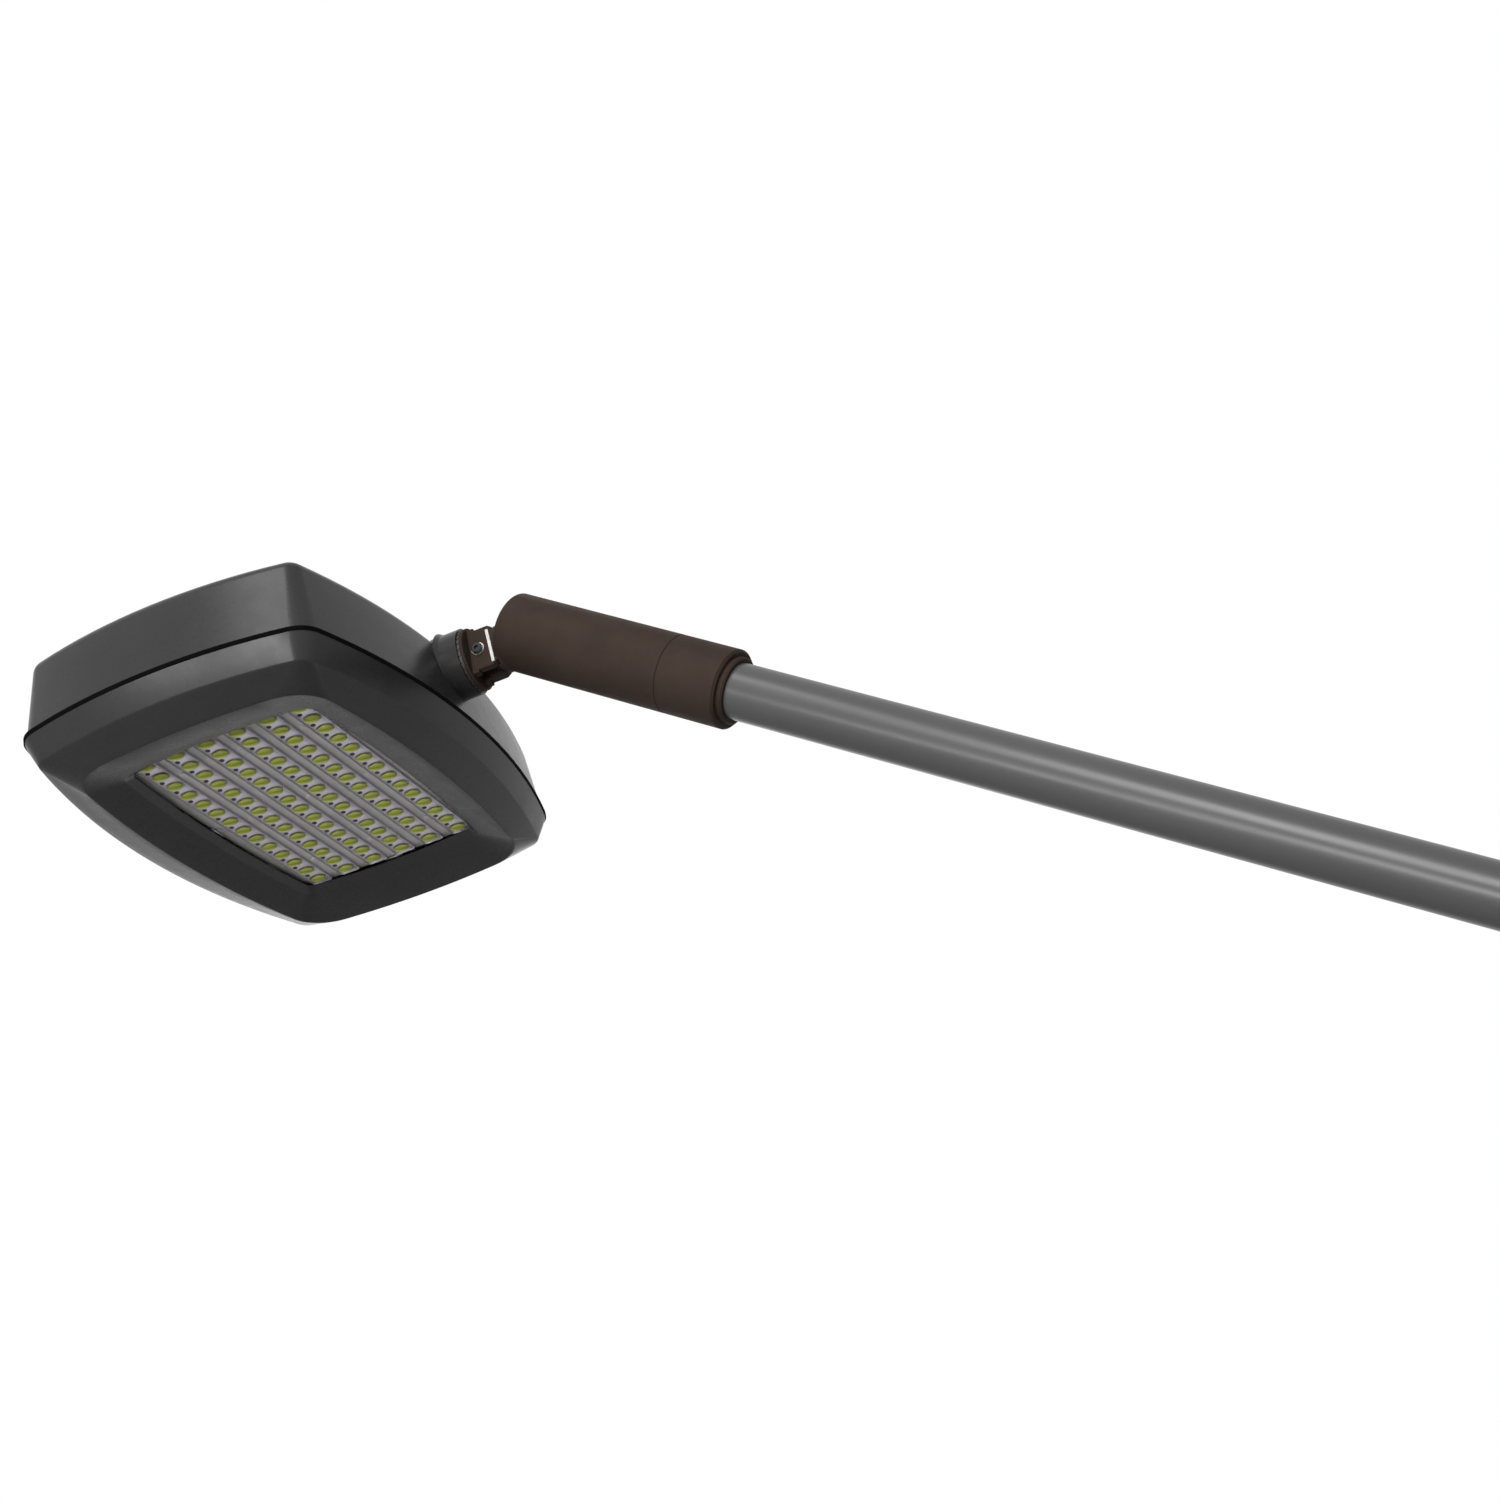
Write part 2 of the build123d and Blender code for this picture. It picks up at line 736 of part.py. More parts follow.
def make_front_frame():
    flange_edge = rim_outline(flange_set_in)
    outer = between(flange_edge, flange_front, rim_outline(0), frame_top)
    outer = outer + between(ridge_outline(0), ridge_z, flange_edge, flange_front)
    outer = outer - between(ridge_outline(0), ridge_z, ledge_outline(), ledge_z)
    outer = outer - between(ledge_outline(), ledge_z, window_outline(0), window_z)
    ridge_edges = outer.edges().filter_by(lambda edge: abs(edge.center().Z - ridge_z) < frame_wall)
    outer = fillet(ridge_edges, ridge_rounding)
    flange_edges = outer.edges().filter_by(lambda edge: abs(edge.center().Z - flange_front) < seat_gap)
    outer = fillet(flange_edges, flange_rounding)
    ledge_edges = outer.edges().filter_by(lambda edge: abs(edge.center().Z - ledge_z) < seat_gap)
    outer = fillet(ledge_edges, ledge_rounding)
    inner_edge = rim_outline(flange_set_in + frame_wall)
    inner_front = flange_front + frame_wall / 2
    hollow = between(inner_edge, inner_front, rim_outline(seal_band), frame_top)
    hollow = hollow + between(ridge_outline(frame_wall), ridge_z + frame_wall + 1, inner_edge, inner_front)
    seat_outline = window_outline(glass_overlap + glass_side_gap + frame_wall)
    slope_back = between(ridge_outline(frame_wall), ridge_z, seat_outline, lip_back)
    seat = slab(seat_outline, lip_back, glass_back)
    hollow = hollow - slope_back - seat
    for x, y in frame_screw_places:
        hollow = hollow - Pos(x, y, 0) * z_rod(frame_post_radius, ridge_z, frame_top + 1)
    for x, y, turn in clip_places:
        hollow = hollow - Pos(x, y, 0) * z_rod(clip_boss_radius, ridge_z, glass_back)
    frame = outer - hollow - slab(window_outline(0), window_z - seat_gap, frame_top)
    pocket = slab(window_outline(glass_overlap + glass_side_gap), lip_back, frame_top + 1)
    frame = frame - pocket
    for x, y in frame_screw_places:
        hole = z_rod(frame_screw_radius, frame_top - frame_screw_bite - 2, frame_top + 1)
        frame = frame - Pos(x, y, 0) * hole
    for x, y, turn in clip_places:
        hole = z_rod(clip_screw_radius + seat_gap / 2, glass_back - clip_screw_bite - 1, glass_back + 1)
        frame = frame - Pos(x, y, 0) * hole
    return middle * frame


def make_lens_seal():
    ring = slab(window_outline(glass_overlap), lip_back, glass_front)
    inner = slab(window_outline(glass_overlap - lens_seal_width), lip_back - 1, glass_front + 1)
    return middle * (ring - inner)


def make_cover_glass():
    return middle * slab(window_outline(glass_overlap), glass_front, glass_back)


def glass_clip(x, y, turn):
    """Steel strip from its boss over the edge of the glass."""
    reach = clip_boss_out - glass_overlap + clip_reach
    strip = Pos(-reach / 2 + clip_boss_radius / 2, 0, glass_back + clip_thickness / 2)
    strip = strip * Box(reach + clip_boss_radius, clip_width, clip_thickness)
    strip = strip - z_rod(clip_screw_radius + seat_gap, glass_back - 1, glass_back + clip_thickness + 1)
    return middle * Pos(x, y, 0) * Rot(0, 0, turn) * strip


def make_glass_clips():
    return as_group(glass_clip(x, y, turn) for x, y, turn in clip_places)


def make_clip_screws():
    seat = glass_back + clip_thickness
    screws = []
    for x, y, turn in clip_places:
        screw = z_rod(clip_screw_radius * 2, seat, seat + clip_screw_head_height)
        screw = screw + z_rod(clip_screw_radius, glass_back - clip_screw_bite, seat)
        screws.append(middle * Pos(x, y, 0) * screw)
    return as_group(screws)


# LED board

def board_screw_places():
    """Board screws stand between the columns."""
    rows = (-1, 0, 1)
    gaps = (-2, 0, 2)
    return [(gap * led_column_pitch, row * led_row_pitch * 5) for gap in gaps for row in rows]


def make_led_board():
    board = slab(RectangleRounded(2 * board_half_x, 2 * board_half_y, 4), board_face, board_back)
    for x, y in board_screw_places():
        board = board - Pos(x, y, 0) * z_rod(board_screw_radius + seat_gap, board_face - 1, board_back + 1)
    head_hole = spreader_screw_head + moving_gap
    for x, y in spreader_post_places:
        board = board - Pos(x, y, 0) * z_rod(head_hole, board_face - 1, board_back + 1)
    return middle * board


def make_led_packages():
    chip = Pos(0, 0, board_face - led_height / 2) * Box(led_size, led_size, led_height)
    return as_group(middle * Pos(x, y, 0) * chip for x, y in led_places)


def optic_strip():
    """Clear strip with a dish round each LED, a shallow dome over it and a pocket behind it."""
    length = 2 * board_half_y - 2 * optic_end
    front = board_face - optic_height
    floor = board_face - optic_floor
    strip = slab(RectangleRounded(optic_width, length, 3), front, board_face)
    dish = Pos(0, 0, (front + floor) / 2) * Cone(optic_dish_radius, optic_dish_floor_radius, floor - front)
    sphere_radius = (optic_dome_radius**2 + optic_dome_height**2) / (2 * optic_dome_height)
    dome = Pos(0, 0, floor - optic_dome_height + sphere_radius) * Sphere(sphere_radius)
    dome = dome & slab(Circle(optic_dome_radius), floor - optic_dome_height, floor)
    rows = [(row - (led_rows - 1) / 2) * led_row_pitch for row in range(led_rows)]
    strip = strip - [Pos(0, y, 0) * dish for y in rows]
    strip = strip + [Pos(0, y, 0) * dome for y in rows]
    pocket = z_rod(optic_pocket_radius, board_face - optic_pocket_height, board_face + 1)
    return strip - [Pos(0, y, 0) * pocket for y in rows]


def make_lens_strips():
    strip = optic_strip()
    return as_group(middle * Pos(x, 0, 0) * strip for x in column_places)


def make_heat_spreader():
    plate = slab(RectangleRounded(2 * spreader_half_x, 2 * spreader_half_y, 5), board_back, spreader_back)
    for x, y in spreader_post_places:
        plate = plate - Pos(x, y, 0) * z_rod(spreader_screw_radius, board_back - 1, spreader_back + 1)
    for x, y in board_screw_places():
        plate = plate - Pos(x, y, 0) * z_rod(board_screw_radius, board_back - 1, spreader_back + 1)
    return middle * plate


def make_board_screws():
    screws = []
    for x, y in board_screw_places():
        screw = z_rod(board_screw_head, board_face - 1.4, board_face)
        screw = screw + z_rod(board_screw_radius, board_face, spreader_back - 0.5)
        screws.append(middle * Pos(x, y, 0) * screw)
    return as_group(screws)


# Driver compartment

def tray_post_places():
    half_x = driver_width / 2 + tray_margin / 2
    half_y = driver_length / 2 + tray_margin / 2
    return [(driver_offset_x + x, y) for x, y in mirrored_places(half_x, half_y)]


tray_top = bay_underside - tray_post_height
tray_bottom = tray_top - tray_thickness


def make_driver_tray():
    tray = Box(driver_width + 2 * tray_margin, driver_length + 2 * tray_margin, tray_thickness)
    tray = Pos(driver_offset_x, 0, (tray_top + tray_bottom) / 2) * tray
    for x, y in tray_post_places():
        tray = tray - Pos(x, y, 0) * z_rod(tray_hole_radius, tray_bottom - 1, tray_top + 1)
    return middle * tray


def make_tray_screws():
    screws = []
    for x, y in tray_post_places():
        screw = z_rod(tray_hole_radius * 1.8, tray_bottom - 2, tray_bottom)
        screw = screw + z_rod(post_screw_radius, tray_bottom, tray_top + 4)
        screws.append(middle * Pos(x, y, 0) * screw)
    return as_group(screws)


def make_led_driver():
    case = Box(driver_width, driver_length, driver_height)
    case = fillet(case.edges().filter_by(Axis.Y), driver_corner)
    case = Pos(driver_offset_x, 0, tray_bottom - driver_height / 2) * case
    return middle * case


def make_surge_protector():
    case = Box(surge_width, surge_length, surge_height)
    case = fillet(case.edges().filter_by(Axis.Z), 4)
    x = -fin_bay_half_x + surge_width / 2 + 4
    return middle * Pos(x, surge_length / 2 + 40, bay_underside - surge_height / 2) * case


def make_terminal_block():
    block = Box(terminal_width, terminal_length, terminal_height)
    pitch = terminal_length / terminal_ways
    for way in range(terminal_ways):
        y = (way - (terminal_ways - 1) / 2) * pitch
        block = block - Pos(0, y, 0) * Box(terminal_width + 2, pitch * 0.45, terminal_height * 0.5)
        block = block - Pos(0, y, -terminal_height / 2) * Cylinder(pitch * 0.25, 6)
    x = -fin_bay_half_x + terminal_width / 2 + 4
    return middle * Pos(x, -terminal_length / 2 - 40, bay_underside - terminal_height / 2) * block


def make_spreader_screws():
    screws = []
    for x, y in spreader_post_places:
        screw = z_rod(spreader_screw_head, board_back - spreader_screw_head_height, board_back)
        screw = screw + z_rod(post_screw_radius, board_back, spreader_back + 10)
        screws.append(middle * Pos(x, y, 0) * screw)
    return as_group(screws)


arm_pieces = {
    "wall_gasket": make_wall_gasket,
    "wall_plate": make_wall_plate,
    "pipe_hub": make_pipe_hub,
    "hub_set_screws": make_hub_screws,
    "arm_pipe": make_arm_pipe,
    "slipfitter_collar": make_slipfitter_collar,
    "reducer_bushing": make_reducer_bushing,
    "sleeve_set_screws": make_sleeve_screws,
    "slipfitter_body": make_slipfitter_body,
}
head_pieces = {
    "knuckle_clevis": make_knuckle_clevis,
    "aiming_strip": make_aiming_strip,
    "pivot_bolt": make_pivot_bolt,
    "pivot_washers": make_pivot_washers,
    "pivot_nut": make_pivot_nut,
    "tooth_washer": make_tooth_washer,
    "stem_locknut": make_stem_locknut,
    "rear_housing": make_rear_housing,
    "housing_gasket": make_housing_gasket,
    "frame_screws": make_frame_screws,
    "breather_vent": make_breather_vent,
    "front_frame": make_front_frame,
    "lens_seal": make_lens_seal,
    "cover_glass": make_cover_glass,
    "glass_clips": make_glass_clips,
    "clip_screws": make_clip_screws,
    "led_board": make_led_board,
    "led_packages": make_led_packages,
    "lens_strips": make_lens_strips,
    "heat_spreader": make_heat_spreader,
    "board_screws": make_board_screws,
    "spreader_screws": make_spreader_screws,
    "driver_tray": make_driver_tray,
    "tray_screws": make_tray_screws,
    "led_driver": make_led_driver,
    "surge_protector": make_surge_protector,
    "terminal_block": make_terminal_block,
}
for name, make in arm_pieces.items():
    export_step(make(), f"parts/{name}.step")
for name, make in head_pieces.items():
    export_step(head_place * make(), f"parts/{name}.step")
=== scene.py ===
import bpy
from math import radians
from mathutils import Matrix, Vector


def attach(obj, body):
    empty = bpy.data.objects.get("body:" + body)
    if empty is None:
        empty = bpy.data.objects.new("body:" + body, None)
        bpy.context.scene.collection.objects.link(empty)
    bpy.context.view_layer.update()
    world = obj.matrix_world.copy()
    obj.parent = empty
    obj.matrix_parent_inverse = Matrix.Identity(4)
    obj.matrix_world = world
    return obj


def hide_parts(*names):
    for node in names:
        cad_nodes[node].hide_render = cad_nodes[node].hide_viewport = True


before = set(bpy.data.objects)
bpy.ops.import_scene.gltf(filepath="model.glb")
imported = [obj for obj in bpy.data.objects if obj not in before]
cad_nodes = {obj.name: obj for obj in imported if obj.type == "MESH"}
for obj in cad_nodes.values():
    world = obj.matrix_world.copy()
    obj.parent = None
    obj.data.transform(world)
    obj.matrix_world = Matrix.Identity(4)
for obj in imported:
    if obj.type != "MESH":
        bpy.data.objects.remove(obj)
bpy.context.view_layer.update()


# Camera: stands beside and below the arm and looks up at the lit face of the head.
# It is rolled to the right, so the arm leaves the picture at its lower right.
camera_sensor = 36.0
camera_lens = 56.42
camera_place = (-0.2311, 1.6228, -0.4919)
camera_right = Vector((-0.8493, -0.3648, 0.3815))
camera_back = Vector((-0.4705, 0.8508, -0.2340))

camera_data = bpy.data.cameras.new("photo_camera")
camera_data.sensor_width = camera_sensor
camera_data.lens = camera_lens
camera_data.clip_end = 100.0
camera = bpy.data.objects.new("photo_camera", camera_data)
bpy.context.collection.objects.link(camera)
camera_up = camera_back.cross(camera_right)
camera_turn = Matrix((camera_right, camera_up, camera_back)).transposed().to_4x4()
camera.matrix_world = Matrix.Translation(camera_place) @ camera_turn
bpy.context.scene.camera = camera
bpy.context.scene.view_settings.view_transform = "Standard"


# Room: white where the camera looks past the lamp and where its gloss and glass look,
# and a plain soft grey for the light that falls on it from all round.
room_light = 0.14
room_white = 1.0

room = bpy.data.worlds.new("room")
bpy.context.scene.world = room
room.use_nodes = True
room_nodes = room.node_tree.nodes
room_links = room.node_tree.links
room_nodes["Background"].inputs["Color"].default_value = (1, 1, 1, 1)
seen_rays = room_nodes.new("ShaderNodeLightPath")
camera_or_gloss = room_nodes.new("ShaderNodeMath")
camera_or_gloss.operation = "MAXIMUM"
room_links.new(seen_rays.outputs["Is Camera Ray"], camera_or_gloss.inputs[0])
room_links.new(seen_rays.outputs["Is Glossy Ray"], camera_or_gloss.inputs[1])
or_glass = room_nodes.new("ShaderNodeMath")
or_glass.operation = "MAXIMUM"
room_links.new(camera_or_gloss.outputs[0], or_glass.inputs[0])
room_links.new(seen_rays.outputs["Is Transmission Ray"], or_glass.inputs[1])
room_level = room_nodes.new("ShaderNodeMapRange")
room_level.inputs["To Min"].default_value = room_light
room_level.inputs["To Max"].default_value = room_white
room_links.new(or_glass.outputs[0], room_level.inputs["Value"])
room_links.new(room_level.outputs[0], room_nodes["Background"].inputs["Strength"])


# Lamps: a large soft one above the arm, three low ones in a row that stroke the head's flange,
# a high one past the head that lights its near corner, and a weak one behind for the far side.
def soft_lamp(name, place, aim, width, height, watts):
    lamp_data = bpy.data.lights.new(name, "AREA")
    lamp_data.shape = "RECTANGLE"
    lamp_data.size = width
    lamp_data.size_y = height
    lamp_data.energy = watts
    lamp = bpy.data.objects.new(name, lamp_data)
    bpy.context.collection.objects.link(lamp)
    lamp.location = place
    lamp.rotation_euler = (Vector(aim) - Vector(place)).to_track_quat("-Z", "Y").to_euler()
    return lamp


soft_lamp("shoulder_lamp", (0.85, 2.6, 1.05), (0.5, 0, 0), 1.3, 1.1, 64)
soft_lamp("low_near_lamp", (0.64, 2.7, -0.8), (1.0, 0.2, -0.15), 0.6, 0.5, 28)
soft_lamp("low_middle_lamp", (1.5, 2.5, -1.25), (1.05, 0.2, -0.2), 0.9, 0.5, 27)
soft_lamp("low_far_lamp", (2.4, 2.05, -1.65), (1.1, 0.2, -0.2), 0.9, 0.5, 34)
soft_lamp("corner_lamp", (2.3, 1.9, 1.5), (1.0, 0.1, 0), 0.8, 0.8, 17)
soft_lamp("far_lamp", (2.2, -2.5, -0.2), (0.9, 0, -0.1), 2.0, 1.2, 5)


# Floor: a round pale floor under the lamp, outside the photograph's frame, which fades
# into the white room at its rim and keeps the lamp's shadow.
floor_radius = 3.4
floor_middle = (0.7, 0, -1.3)
floor_fade_from = 1.1
floor_fade_to = 3.2
floor_white = 0.6

bpy.ops.object.select_all(action="DESELECT")
bpy.ops.mesh.primitive_circle_add(vertices=96, radius=floor_radius, fill_type="NGON", location=floor_middle)
floor = bpy.context.object
floor.name = "floor"
floor_paint = bpy.data.materials.new("floor_paint")
floor_paint.use_nodes = True
floor_nodes = floor_paint.node_tree.nodes
floor_links = floor_paint.node_tree.links
floor_nodes["Principled BSDF"].inputs["Base Color"].default_value = (0.86, 0.86, 0.86, 1)
floor_nodes["Principled BSDF"].inputs["Roughness"].default_value = 0.9
floor_place = floor_nodes.new("ShaderNodeTexCoord")
floor_length = floor_nodes.new("ShaderNodeVectorMath")
floor_length.operation = "LENGTH"
floor_links.new(floor_place.outputs["Object"], floor_length.inputs[0])
floor_fade = floor_nodes.new("ShaderNodeMapRange")
floor_fade.interpolation_type = "SMOOTHSTEP"
floor_fade.inputs["From Min"].default_value = floor_fade_from
floor_fade.inputs["From Max"].default_value = floor_fade_to
floor_links.new(floor_length.outputs["Value"], floor_fade.inputs["Value"])
floor_rays = floor_nodes.new("ShaderNodeLightPath")
floor_lift = floor_nodes.new("ShaderNodeMath")
floor_lift.operation = "MULTIPLY"
floor_lift.inputs[1].default_value = floor_white
floor_links.new(floor_rays.outputs["Is Camera Ray"], floor_lift.inputs[0])
floor_links.new(floor_lift.outputs[0], floor_fade.inputs["To Min"])
floor_glow = floor_nodes.new("ShaderNodeEmission")
floor_mix = floor_nodes.new("ShaderNodeMixShader")
floor_links.new(floor_fade.outputs[0], floor_mix.inputs[0])
floor_links.new(floor_nodes["Principled BSDF"].outputs[0], floor_mix.inputs[1])
floor_links.new(floor_glow.outputs[0], floor_mix.inputs[2])
floor_links.new(floor_mix.outputs[0], floor_nodes["Material Output"].inputs["Surface"])
floor.data.materials.append(floor_paint)


# Wall gasket: a sheet of black rubber cut to the plate's outline.
# The plate's bolts squeeze it against the wall.
def new_finish(name, colour, roughness, metallic=0.0, specular=0.5):
    """A plain finish, to which patterns and bumps are added."""
    finish = bpy.data.materials.new(name)
    finish.use_nodes = True
    shader = finish.node_tree.nodes["Principled BSDF"]
    shader.inputs["Base Color"].default_value = (*colour, 1)
    shader.inputs["Roughness"].default_value = roughness
    shader.inputs["Metallic"].default_value = metallic
    shader.inputs["Specular IOR Level"].default_value = specular
    finish.diffuse_color = (*colour, 1)
    return finish


def add_noise(finish, size, stretch=(1, 1, 1), detail=3.0):
    """Soft random pattern on the object's own coordinates; size is that of a grain in metres."""
    nodes = finish.node_tree.nodes
    links = finish.node_tree.links
    place = nodes.new("ShaderNodeTexCoord")
    turn = nodes.new("ShaderNodeMapping")
    turn.inputs["Scale"].default_value = stretch
    noise = nodes.new("ShaderNodeTexNoise")
    noise.inputs["Scale"].default_value = 1 / size
    noise.inputs["Detail"].default_value = detail
    links.new(place.outputs["Object"], turn.inputs["Vector"])
    links.new(turn.outputs["Vector"], noise.inputs["Vector"])
    return noise.outputs["Fac"]


def add_bumps(finish, height_socket, depth, strength=1.0):
    """Raises the surface by a pattern; depth is in metres. Bumps stack on those already there."""
    nodes = finish.node_tree.nodes
    links = finish.node_tree.links
    shader = nodes["Principled BSDF"]
    bump = nodes.new("ShaderNodeBump")
    bump.inputs["Distance"].default_value = depth
    bump.inputs["Strength"].default_value = strength
    links.new(height_socket, bump.inputs["Height"])
    if shader.inputs["Normal"].is_linked:
        links.new(shader.inputs["Normal"].links[0].from_socket, bump.inputs["Normal"])
    links.new(bump.outputs["Normal"], shader.inputs["Normal"])


def vary_colour(finish, pattern, dark, light):
    """Lets the colour drift between two shades with a pattern."""
    nodes = finish.node_tree.nodes
    links = finish.node_tree.links
    ramp = nodes.new("ShaderNodeValToRGB")
    ramp.color_ramp.elements[0].position = 0.3
    ramp.color_ramp.elements[1].position = 0.7
    ramp.color_ramp.elements[0].color = (*dark, 1)
    ramp.color_ramp.elements[1].color = (*light, 1)
    links.new(pattern, ramp.inputs["Fac"])
    links.new(ramp.outputs["Color"], nodes["Principled BSDF"].inputs["Base Color"])


def vary_gloss(finish, pattern, smooth, rough):
    """Lets the roughness drift between two levels with a pattern."""
    nodes = finish.node_tree.nodes
    links = finish.node_tree.links
    level = nodes.new("ShaderNodeMapRange")
    level.inputs["From Min"].default_value = 0.3
    level.inputs["From Max"].default_value = 0.7
    level.inputs["To Min"].default_value = smooth
    level.inputs["To Max"].default_value = rough
    links.new(pattern, level.inputs["Value"])
    links.new(level.outputs[0], nodes["Principled BSDF"].inputs["Roughness"])


def dress(node_name, finish, crease=32):
    """Gives a CAD piece its finish and lets its curved faces shade smoothly up to a crease angle."""
    piece = cad_nodes[node_name]
    piece.data.materials.clear()
    piece.data.materials.append(finish)
    for polygon in piece.data.polygons:
        polygon.use_smooth = True
    join = piece.modifiers.new("join", "WELD")
    join.merge_threshold = 0.00002
    split = piece.modifiers.new("creases", "EDGE_SPLIT")
    split.split_angle = radians(crease)
    split.use_edge_sharp = False


gasket_rubber = new_finish("gasket_rubber", (0.002, 0.002, 0.0021), 0.95, specular=0.03)
rubber_drift = add_noise(gasket_rubber, 0.02)
vary_colour(gasket_rubber, rubber_drift, (0.0016, 0.0016, 0.0017), (0.0024, 0.0024, 0.0025))
add_bumps(gasket_rubber, add_noise(gasket_rubber, 0.0006), 0.00008)
dress("wall_gasket", gasket_rubber)


# Wall plate and pipe hub: steel plate with a welded collar, powder coated in satin grey.
# The coat has a fine orange-peel skin and drifts a little in tone.
arm_coat = new_finish("arm_coat", (0.07, 0.07, 0.0715), 0.34, specular=0.34)
vary_colour(arm_coat, add_noise(arm_coat, 0.06), (0.066, 0.066, 0.0675), (0.074, 0.074, 0.0755))
vary_gloss(arm_coat, add_noise(arm_coat, 0.02), 0.35, 0.42)
add_bumps(arm_coat, add_noise(arm_coat, 0.0009), 0.00003, 0.6)
dress("wall_plate", arm_coat)
dress("pipe_hub", arm_coat)


# Hub set screws: black oxide grub screws under the hub that hold the arm.
black_oxide = new_finish("black_oxide", (0.02, 0.02, 0.022), 0.42, metallic=0.6)
vary_gloss(black_oxide, add_noise(black_oxide, 0.001), 0.35, 0.55)
add_bumps(black_oxide, add_noise(black_oxide, 0.0004), 0.00003, 0.5)
dress("hub_set_screws", black_oxide)


# Arm: a drawn round pipe under the same coat. The drawing leaves long faint lines
# along it, which the coat nearly fills.
pipe_coat = new_finish("pipe_coat", (0.06, 0.06, 0.0615), 0.31, specular=0.34)
pipe_drift = add_noise(pipe_coat, 0.05, (0.2, 1, 1))
vary_colour(pipe_coat, pipe_drift, (0.056, 0.056, 0.0575), (0.064, 0.064, 0.0655))
vary_gloss(pipe_coat, add_noise(pipe_coat, 0.01, (0.1, 1, 1)), 0.3, 0.34)
add_bumps(pipe_coat, add_noise(pipe_coat, 0.0012, (0.02, 1, 1)), 0.00002, 0.4)
add_bumps(pipe_coat, add_noise(pipe_coat, 0.0008), 0.00002, 0.4)
dress("arm_pipe", pipe_coat)


# Slipfitter: cast aluminium sleeve in two parts over a reducer bushing, in satin dark bronze.
# The casting's skin shows through the coat as low soft grain.
bronze_coat = new_finish("bronze_coat", (0.032, 0.022, 0.0175), 0.6, specular=0.05)
vary_colour(bronze_coat, add_noise(bronze_coat, 0.03), (0.029, 0.02, 0.016), (0.035, 0.024, 0.019))
vary_gloss(bronze_coat, add_noise(bronze_coat, 0.008), 0.55, 0.65)
add_bumps(bronze_coat, add_noise(bronze_coat, 0.0014), 0.00006, 0.5)
add_bumps(bronze_coat, add_noise(bronze_coat, 0.0005), 0.00002, 0.5)
dress("slipfitter_collar", bronze_coat)
dress("reducer_bushing", bronze_coat)
dress("slipfitter_body", bronze_coat)
dress("sleeve_set_screws", black_oxide)


# Knuckle: the fixture's half of the cast joint, with two cheeks round the sleeve's tongue.
# It has the same bronze coat as the sleeve.
dress("knuckle_clevis", bronze_coat)


# Pivot washers and aiming strip: bright stainless steel with turning marks. The bolt and
# its nut are black oxide.
bright_steel = new_finish("bright_steel", (0.62, 0.61, 0.59), 0.26, metallic=1.0)
vary_colour(bright_steel, add_noise(bright_steel, 0.004), (0.56, 0.55, 0.53), (0.68, 0.67, 0.65))
vary_gloss(bright_steel, add_noise(bright_steel, 0.0008, (1, 12, 1)), 0.2, 0.34)
add_bumps(bright_steel, add_noise(bright_steel, 0.0005, (1, 10, 1)), 0.00001, 0.6)
dress("aiming_strip", bright_steel)
dress("pivot_washers", bright_steel)
dress("pivot_bolt", black_oxide)
dress("pivot_nut", black_oxide)


# Tooth washer and the stem's locknut: they hold the neck at the angle it is turned to.
# The washer is blackened spring steel, and the nut is zinc plated.
spring_steel = new_finish("spring_steel", (0.05, 0.045, 0.042), 0.45, metallic=0.7)
vary_gloss(spring_steel, add_noise(spring_steel, 0.0015), 0.38, 0.55)
add_bumps(spring_steel, add_noise(spring_steel, 0.0006), 0.00003, 0.5)
dress("tooth_washer", spring_steel)
zinc_plate = new_finish("zinc_plate", (0.55, 0.56, 0.57), 0.36, metallic=1.0)
vary_colour(zinc_plate, add_noise(zinc_plate, 0.003), (0.48, 0.49, 0.51), (0.62, 0.63, 0.62))
vary_gloss(zinc_plate, add_noise(zinc_plate, 0.0015), 0.3, 0.45)
add_bumps(zinc_plate, add_noise(zinc_plate, 0.0004), 0.00001, 0.5)
dress("stem_locknut", zinc_plate)


# Rear housing and front frame: die-cast aluminium under a fine dark grey texture coat.
# The grain is under a millimetre, and the tone drifts slightly over the casting. The
# breather vent on the back is moulded in black.
head_coat = new_finish("head_coat", (0.022, 0.022, 0.0225), 0.28, specular=0.18)
vary_colour(head_coat, add_noise(head_coat, 0.08), (0.0205, 0.0205, 0.021), (0.0235, 0.0235, 0.024))
vary_gloss(head_coat, add_noise(head_coat, 0.015), 0.26, 0.3)
add_bumps(head_coat, add_noise(head_coat, 0.0007), 0.00003, 0.5)
dress("rear_housing", head_coat)
dress("front_frame", head_coat)
dress("breather_vent", gasket_rubber)


# Gaskets: black silicone cords, one squeezed between the two castings and one behind
# the glass. They keep rain off the LEDs and the driver.
dress("housing_gasket", gasket_rubber)
dress("lens_seal", gasket_rubber)


# Screws and glass clips: zinc plated steel. The screws hold the frame, the clips, the
# spreader and the tray.
for node_name in ("frame_screws", "clip_screws", "spreader_screws", "tray_screws", "glass_clips"):
    dress(node_name, zinc_plate)


